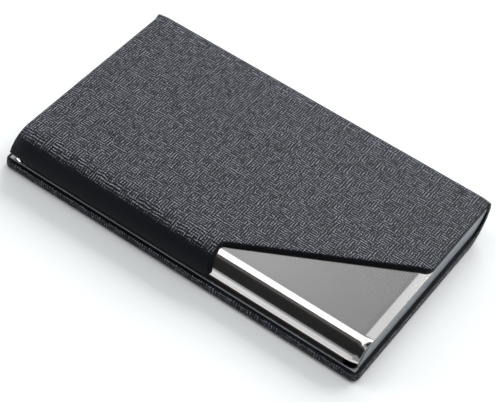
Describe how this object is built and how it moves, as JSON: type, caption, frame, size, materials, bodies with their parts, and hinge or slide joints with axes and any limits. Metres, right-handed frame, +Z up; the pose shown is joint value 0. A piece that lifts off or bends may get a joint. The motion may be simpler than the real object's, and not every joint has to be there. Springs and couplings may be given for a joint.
{
  "type": "business card case",
  "caption": "Slim hinged card case: leather wrap over two mirror-steel shells, rolled front edge, one corner of the lid left bare by a diagonal cut.",
  "frame": {"origin": "on the resting surface, under the middle of the closed case", "axes": "+X along the case towards the end with the bare steel corner, +Y towards the spine, +Z up; -Y is the opening side"},
  "size_m": [0.102, 0.0616, 0.01],
  "materials": {
    "polished_steel": "mirror-polished stainless steel",
    "wrap_leather": "charcoal, embossed with a fine cross grain, satin",
    "lining": "black woven tape, matte",
    "bar_plastic": "black, matte moulded",
    "magnet": "nickel-plated",
    "board": "dense grey board"
  },
  "bodies": {
    "base": {"base_tray": "polished_steel", "base_leather": "wrap_leather", "base_board": "board", "hinge_leather": "wrap_leather", "hinge_lining": "lining"},
    "lid": {"lid_shell": "polished_steel", "lid_leather": "wrap_leather", "magnet_bar": "bar_plastic", "magnet_left": "magnet", "magnet_right": "magnet"}
  },
  "joints": [
    {"name": "lid_hinge", "type": "hinge", "parent": "base", "child": "lid", "pos_m": [0, 0.0304, 0.0096], "axis": [-1, 0, 0], "range_deg": [0, 175], "deforming": ["hinge_leather", "hinge_lining"]}
  ]
}
